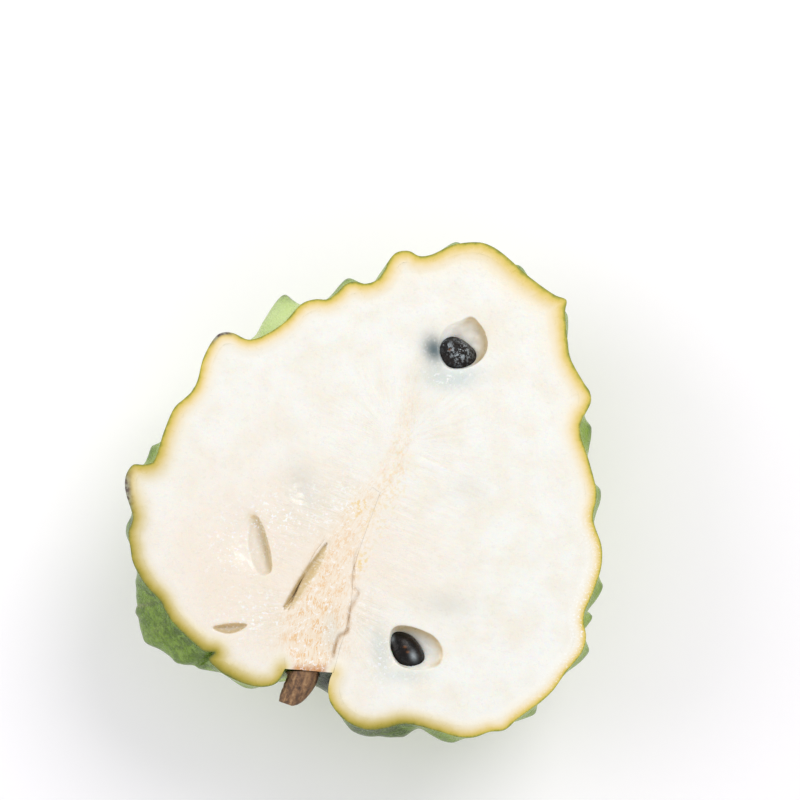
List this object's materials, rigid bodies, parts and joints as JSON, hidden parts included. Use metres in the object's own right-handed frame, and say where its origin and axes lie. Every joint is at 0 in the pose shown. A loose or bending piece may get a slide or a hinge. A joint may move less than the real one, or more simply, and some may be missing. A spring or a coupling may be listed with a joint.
{
  "type": "atemoya half",
  "caption": "Half of an atemoya lying on its bumpy green back, with a heart-shaped white cut face, dark seeds in pockets, a peach core and a stem stub.",
  "frame": {"origin": "middle of the footprint, at the level that the fruit rests on", "axes": "+Y along the fruit's axis from the stem to the blossom end, +Z out of the cut face, which lies level on top"},
  "size_m": [0.1182, 0.122, 0.0519],
  "materials": {
    "skin": "waxy and wet, yellow-green, with darker brown-tipped tubercles",
    "flesh": "moist, creamy white, yellow-green beside the skin",
    "core": "peach, with orange fibres along it",
    "stem": "dry dark bark",
    "seed": "smooth, glossy, near black"
  },
  "bodies": {
    "root": {"skin": "skin", "flesh": "flesh", "core": "core", "stem": "stem", "seed_upper": "seed", "seed_lower": "seed"}
  },
  "joints": []
}
